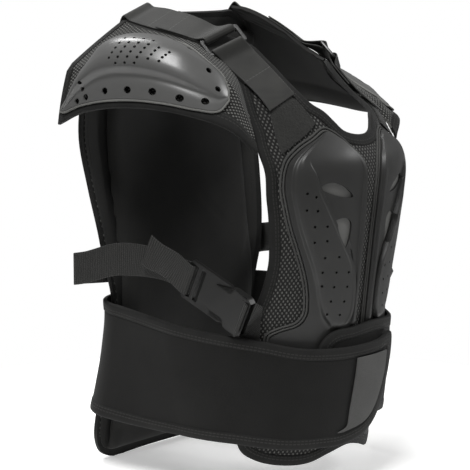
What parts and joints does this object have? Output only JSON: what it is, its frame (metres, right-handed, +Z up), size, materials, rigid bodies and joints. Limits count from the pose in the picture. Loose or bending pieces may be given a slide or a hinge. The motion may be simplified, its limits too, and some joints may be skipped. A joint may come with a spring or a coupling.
{
  "type": "motorcycle armour vest",
  "caption": "Padded vest with chest plates, shoulder shells on mesh flaps, adjustable shoulder straps, buckled side straps and a wide closing belt.",
  "frame": {"origin": "between the wearer's shoulders at the height of the strap rings", "axes": "+Z up, -Y out of the chest, +X to the wearer's left"},
  "size_m": [0.4206, 0.3208, 0.5475],
  "materials": {
    "plate_plastic": "moulded, satin",
    "piping_cord": "covered cord",
    "vent_foam": "matte",
    "loop_pile": "fuzzy pile",
    "lining_cloth": "smooth knit",
    "ring_plastic": "satin",
    "flat_strap": "flat woven",
    "binding_tape": "smooth tape",
    "belt_cloth": "brushed pile",
    "hook_tab": "fine hooks",
    "buckle_plastic": "satin",
    "webbing": "ribbed weave",
    "spacer_mesh": "open spacer mesh",
    "shell_plastic": "satin"
  },
  "bodies": {
    "root": {"chest_plate_right": "plate_plastic", "chest_piping_right": "piping_cord", "vent_inset_upper_right": "vent_foam", "vent_inset_lower_right": "vent_foam", "loop_patch_right": "loop_pile", "shoulder_yoke_right": "lining_cloth", "strap_ring_right": "ring_plastic", "shoulder_strap_front_right": "flat_strap", "shoulder_strap_back_right": "flat_strap", "belt_binding_right": "binding_tape", "belt_wing_right": "belt_cloth", "hook_tab": "hook_tab", "buckle_male_right": "buckle_plastic", "buckle_female_right": "buckle_plastic", "side_strap_right": "webbing", "buckle_anchor_right": "webbing", "shoulder_flap_right": "spacer_mesh", "flap_binding_right": "binding_tape", "shoulder_shell_right": "shell_plastic", "chest_plate_left": "plate_plastic", "chest_piping_left": "piping_cord", "vent_inset_upper_left": "vent_foam", "vent_inset_lower_left": "vent_foam", "loop_patch_left": "loop_pile", "shoulder_yoke_left": "lining_cloth", "strap_ring_left": "ring_plastic", "shoulder_strap_front_left": "flat_strap", "shoulder_strap_back_left": "flat_strap", "belt_binding_left": "binding_tape", "belt_wing_left": "belt_cloth", "buckle_male_left": "buckle_plastic", "buckle_female_left": "buckle_plastic", "side_strap_left": "webbing", "buckle_anchor_left": "webbing", "shoulder_flap_left": "spacer_mesh", "flap_binding_left": "binding_tape", "shoulder_shell_left": "shell_plastic", "front_panel": "spacer_mesh", "front_binding": "binding_tape", "back_panel": "spacer_mesh", "back_binding": "binding_tape", "back_pad": "lining_cloth"}
  },
  "joints": []
}
